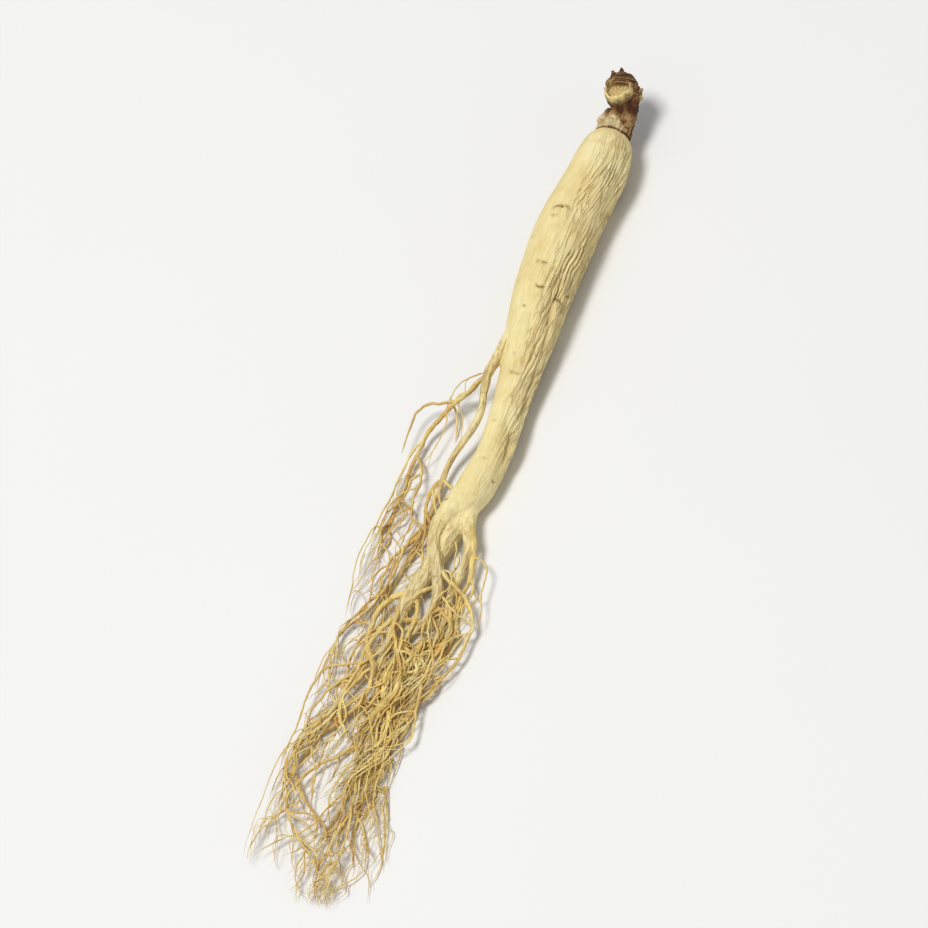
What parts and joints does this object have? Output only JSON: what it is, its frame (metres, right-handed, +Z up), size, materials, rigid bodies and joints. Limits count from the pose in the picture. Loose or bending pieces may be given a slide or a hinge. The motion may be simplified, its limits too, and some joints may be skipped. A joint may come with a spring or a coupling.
{
  "type": "ginseng root",
  "caption": "Dried white ginseng root lying on its side: gnarled rhizome with bowl-shaped stem scars, plump wrinkled taproot, forked legs and a trailing bunch of fine rootlets.",
  "frame": {"origin": "middle of the underside of the root's box, on the surface that the root lies on", "axes": "+Z up; +Y along the taproot towards the rhizome; +X to the right, seen from above with the rhizome away from the viewer"},
  "size_m": [0.028, 0.1754, 0.0125],
  "materials": {
    "dried_root": "matt, cream to pale straw, lengthwise wrinkles with brown creases",
    "rhizome_bark": "matt, scaly tan to dark brown bark of the rhizome"
  },
  "bodies": {
    "root": {"ginseng_root": "dried_root"}
  },
  "joints": []
}
